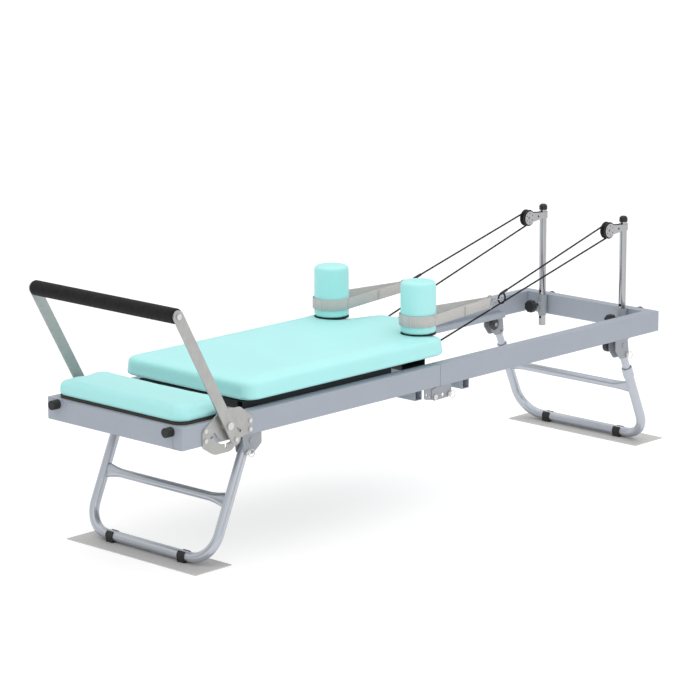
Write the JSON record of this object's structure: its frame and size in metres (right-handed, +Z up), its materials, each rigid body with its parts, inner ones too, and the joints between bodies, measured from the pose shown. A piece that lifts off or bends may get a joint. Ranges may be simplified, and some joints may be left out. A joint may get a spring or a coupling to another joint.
{
  "type": "pilates reformer",
  "caption": "Folding pilates reformer with a sprung carriage on rails, tilting footbar, shoulder rests, hand straps on pulleys and folding legs.",
  "frame": {"origin": "on the floor, at the middle of the whole machine's footprint", "axes": "+X from the footbar end to the riser end, +Y to the far side, +Z up"},
  "size_m": [2.3757, 0.655, 0.8342],
  "materials": {
    "frame_paint": "pale blue-grey powder coat",
    "leg_paint": "silver-grey powder coat",
    "stainless": "satin stainless",
    "bracket_steel": "grey powder coat",
    "zinc_bolt": "bright zinc",
    "pull_pin_steel": "bright plated steel",
    "chrome": "polished chrome",
    "black_plastic": "moulded black plastic",
    "socket_paint": "grey powder coat",
    "dark_steel": "dark grey powder coat",
    "roller_plastic": "hard polyurethane",
    "bumper_rubber": "black rubber",
    "grip_foam": "black foam",
    "aqua_leather": "pale aqua faux leather, smooth matte",
    "rest_leather": "pale aqua faux leather, smooth matte",
    "board_wood": "dark sealed plywood",
    "strap_webbing": "warm grey woven webbing",
    "rope_fabric": "black braided rope",
    "spring_steel": "coiled spring steel",
    "plate_paint": "pale grey powder coat"
  },
  "bodies": {
    "front_half": {"front_frame": "frame_paint", "front_bumpers": "bumper_rubber", "platform_board": "board_wood", "platform_cushion": "aqua_leather", "adjuster_plates": "stainless", "adjuster_bolts": "zinc_bolt", "front_fold_plates": "bracket_steel", "fold_hinge_bolts": "zinc_bolt", "front_leg_brackets": "bracket_steel", "spring_bar": "dark_steel"},
    "footbar": {"footbar_arms": "stainless", "footbar_tube": "chrome", "footbar_grip": "grip_foam", "footbar_bolts": "zinc_bolt"},
    "carriage": {"carriage_frame": "dark_steel", "carriage_board": "board_wood", "carriage_mat": "aqua_leather", "shoulder_rests": "rest_leather", "rest_bases": "black_plastic", "hand_straps": "strap_webbing", "rope_cleats": "black_plastic", "springs": "spring_steel", "wheel_bolts": "zinc_bolt"},
    "wheels_front": {"carriage_wheels_front": "roller_plastic"},
    "wheels_rear": {"carriage_wheels_rear": "roller_plastic"},
    "strap_clip_near": {"strap_ring_near": "chrome", "snap_hook_near": "chrome"},
    "strap_clip_far": {"strap_ring_far": "chrome", "snap_hook_far": "chrome"},
    "front_leg": {"front_leg_tube": "leg_paint"},
    "front_plate": {"front_floor_plate": "plate_paint", "front_foot_saddles": "black_plastic"},
    "front_leg_pin_near": {"front_leg_pin_near": "pull_pin_steel"},
    "front_leg_pin_far": {"front_leg_pin_far": "pull_pin_steel"},
    "rear_half": {"rear_frame": "frame_paint", "rear_bumpers": "bumper_rubber", "rear_fold_plates": "bracket_steel", "rear_leg_brackets": "bracket_steel", "riser_sockets": "socket_paint"},
    "transport_wheels": {"transport_wheels": "roller_plastic"},
    "rear_leg": {"rear_leg_struts": "leg_paint"},
    "rear_leg_lower": {"rear_leg_tube": "leg_paint"},
    "rear_plate": {"rear_floor_plate": "plate_paint", "rear_foot_saddles": "black_plastic"},
    "rear_leg_pin_near": {"rear_leg_pin_near": "pull_pin_steel"},
    "rear_leg_pin_far": {"rear_leg_pin_far": "pull_pin_steel"},
    "fold_pin_near": {"fold_pin_near": "pull_pin_steel"},
    "fold_pin_far": {"fold_pin_far": "pull_pin_steel"},
    "riser_near": {"riser_near": "chrome", "riser_cap_near": "black_plastic", "pulley_fork_near": "chrome", "rope_near": "rope_fabric"},
    "pulley_near": {"pulley_wheel_near": "black_plastic"},
    "knob_near": {"riser_knob_near": "black_plastic"},
    "riser_far": {"riser_far": "chrome", "riser_cap_far": "black_plastic", "pulley_fork_far": "chrome", "rope_far": "rope_fabric"},
    "pulley_far": {"pulley_wheel_far": "black_plastic"},
    "knob_far": {"riser_knob_far": "black_plastic"}
  },
  "joints": [
    {"name": "frame_fold", "type": "hinge", "parent": "front_half", "child": "rear_half", "pos_m": [-0.022, 0, 0.365], "axis": [0, 1, 0], "range_deg": [0, 172]},
    {"name": "front_leg_fold", "type": "hinge", "parent": "front_half", "child": "front_leg", "pos_m": [-0.851, 0, 0.377], "axis": [0, -1, 0], "range_deg": [0, 113.6]},
    {"name": "front_plate_swivel", "type": "hinge", "parent": "front_leg", "child": "front_plate", "pos_m": [-1.0061, 0, 0.022], "axis": [0, 1, 0], "range_deg": [0, 113.6]},
    {"name": "rear_leg_fold", "type": "hinge", "parent": "rear_half", "child": "rear_leg", "pos_m": [0.949, 0, 0.377], "axis": [0, 1, 0], "range_deg": [0, 112.5]},
    {"name": "rear_leg_height", "type": "slide", "parent": "rear_leg", "child": "rear_leg_lower", "axis": [0.4003, 0, -0.9164], "range_m": [0, 0.06]},
    {"name": "rear_plate_swivel", "type": "hinge", "parent": "rear_leg_lower", "child": "rear_plate", "pos_m": [1.1041, 0, 0.022], "axis": [0, -1, 0], "range_deg": [0, 112.5]},
    {"name": "footbar_tilt", "type": "hinge", "parent": "front_half", "child": "footbar", "pos_m": [-0.962, 0, 0.446], "axis": [0, 1, 0], "range_deg": [-36, 95]},
    {"name": "carriage_slide", "type": "slide", "parent": "front_half", "child": "carriage", "axis": [1, 0, 0], "range_m": [0, 0.73], "stiffness_N_per_m": 150, "springref_m": -0.15, "deforming": ["rope_near", "rope_far", "hand_straps", "springs"]},
    {"name": "front_wheels_spin", "type": "hinge", "parent": "carriage", "child": "wheels_front", "pos_m": [-0.758, 0, 0.437], "axis": [0, 1, 0], "continuous": true},
    {"name": "rear_wheels_spin", "type": "hinge", "parent": "carriage", "child": "wheels_rear", "pos_m": [-0.048, 0, 0.437], "axis": [0, 1, 0], "continuous": true},
    {"name": "strap_clip_near_slide", "type": "slide", "parent": "carriage", "child": "strap_clip_near", "axis": [-1, 0, 0], "range_m": [0, 0.27]},
    {"name": "strap_clip_far_slide", "type": "slide", "parent": "carriage", "child": "strap_clip_far", "axis": [-1, 0, 0], "range_m": [0, 0.27]},
    {"name": "front_leg_pin_near_pull", "type": "slide", "parent": "front_half", "child": "front_leg_pin_near", "axis": [0, -1, 0], "range_m": [0, 0.012], "stiffness_N_per_m": 800, "springref_m": -0.004},
    {"name": "rear_leg_pin_near_pull", "type": "slide", "parent": "rear_half", "child": "rear_leg_pin_near", "axis": [0, -1, 0], "range_m": [0, 0.012], "stiffness_N_per_m": 800, "springref_m": -0.004},
    {"name": "fold_pin_near_pull", "type": "slide", "parent": "rear_half", "child": "fold_pin_near", "axis": [0, -1, 0], "range_m": [0, 0.012], "stiffness_N_per_m": 800, "springref_m": -0.004},
    {"name": "riser_near_height", "type": "slide", "parent": "rear_half", "child": "riser_near", "axis": [0, 0, 1], "range_m": [-0.047, 0.047]},
    {"name": "pulley_near_spin", "type": "hinge", "parent": "riser_near", "child": "pulley_near", "pos_m": [0.999, -0.181, 0.757], "axis": [0, 1, 0], "continuous": true},
    {"name": "knob_near_turn", "type": "hinge", "parent": "rear_half", "child": "knob_near", "pos_m": [1.052, -0.181, 0.434], "axis": [1, 0, 0], "continuous": true},
    {"name": "front_leg_pin_far_pull", "type": "slide", "parent": "front_half", "child": "front_leg_pin_far", "axis": [0, 1, 0], "range_m": [0, 0.012], "stiffness_N_per_m": 800, "springref_m": -0.004},
    {"name": "rear_leg_pin_far_pull", "type": "slide", "parent": "rear_half", "child": "rear_leg_pin_far", "axis": [0, 1, 0], "range_m": [0, 0.012], "stiffness_N_per_m": 800, "springref_m": -0.004},
    {"name": "fold_pin_far_pull", "type": "slide", "parent": "rear_half", "child": "fold_pin_far", "axis": [0, 1, 0], "range_m": [0, 0.012], "stiffness_N_per_m": 800, "springref_m": -0.004},
    {"name": "riser_far_height", "type": "slide", "parent": "rear_half", "child": "riser_far", "axis": [0, 0, 1], "range_m": [-0.047, 0.047]},
    {"name": "pulley_far_spin", "type": "hinge", "parent": "riser_far", "child": "pulley_far", "pos_m": [0.999, 0.181, 0.757], "axis": [0, 1, 0], "continuous": true},
    {"name": "knob_far_turn", "type": "hinge", "parent": "rear_half", "child": "knob_far", "pos_m": [1.052, 0.181, 0.434], "axis": [1, 0, 0], "continuous": true},
    {"name": "transport_wheels_spin", "type": "hinge", "parent": "rear_half", "child": "transport_wheels", "pos_m": [0.912, 0, 0.375], "axis": [0, 1, 0], "continuous": true}
  ],
  "couplings": [
    {"joint": "front_leg_fold", "follows": "frame_fold", "ratio": 0.66046},
    {"joint": "front_plate_swivel", "follows": "frame_fold", "ratio": 0.66046},
    {"joint": "rear_leg_fold", "follows": "frame_fold", "ratio": 0.65407},
    {"joint": "rear_plate_swivel", "follows": "frame_fold", "ratio": 0.65407},
    {"joint": "front_wheels_spin", "follows": "carriage_slide", "rad_per_m": 46.083},
    {"joint": "rear_wheels_spin", "follows": "carriage_slide", "rad_per_m": 46.083},
    {"joint": "strap_clip_near_slide", "follows": "carriage_slide", "ratio": 0.36796},
    {"joint": "strap_clip_far_slide", "follows": "carriage_slide", "ratio": 0.36796}
  ]
}
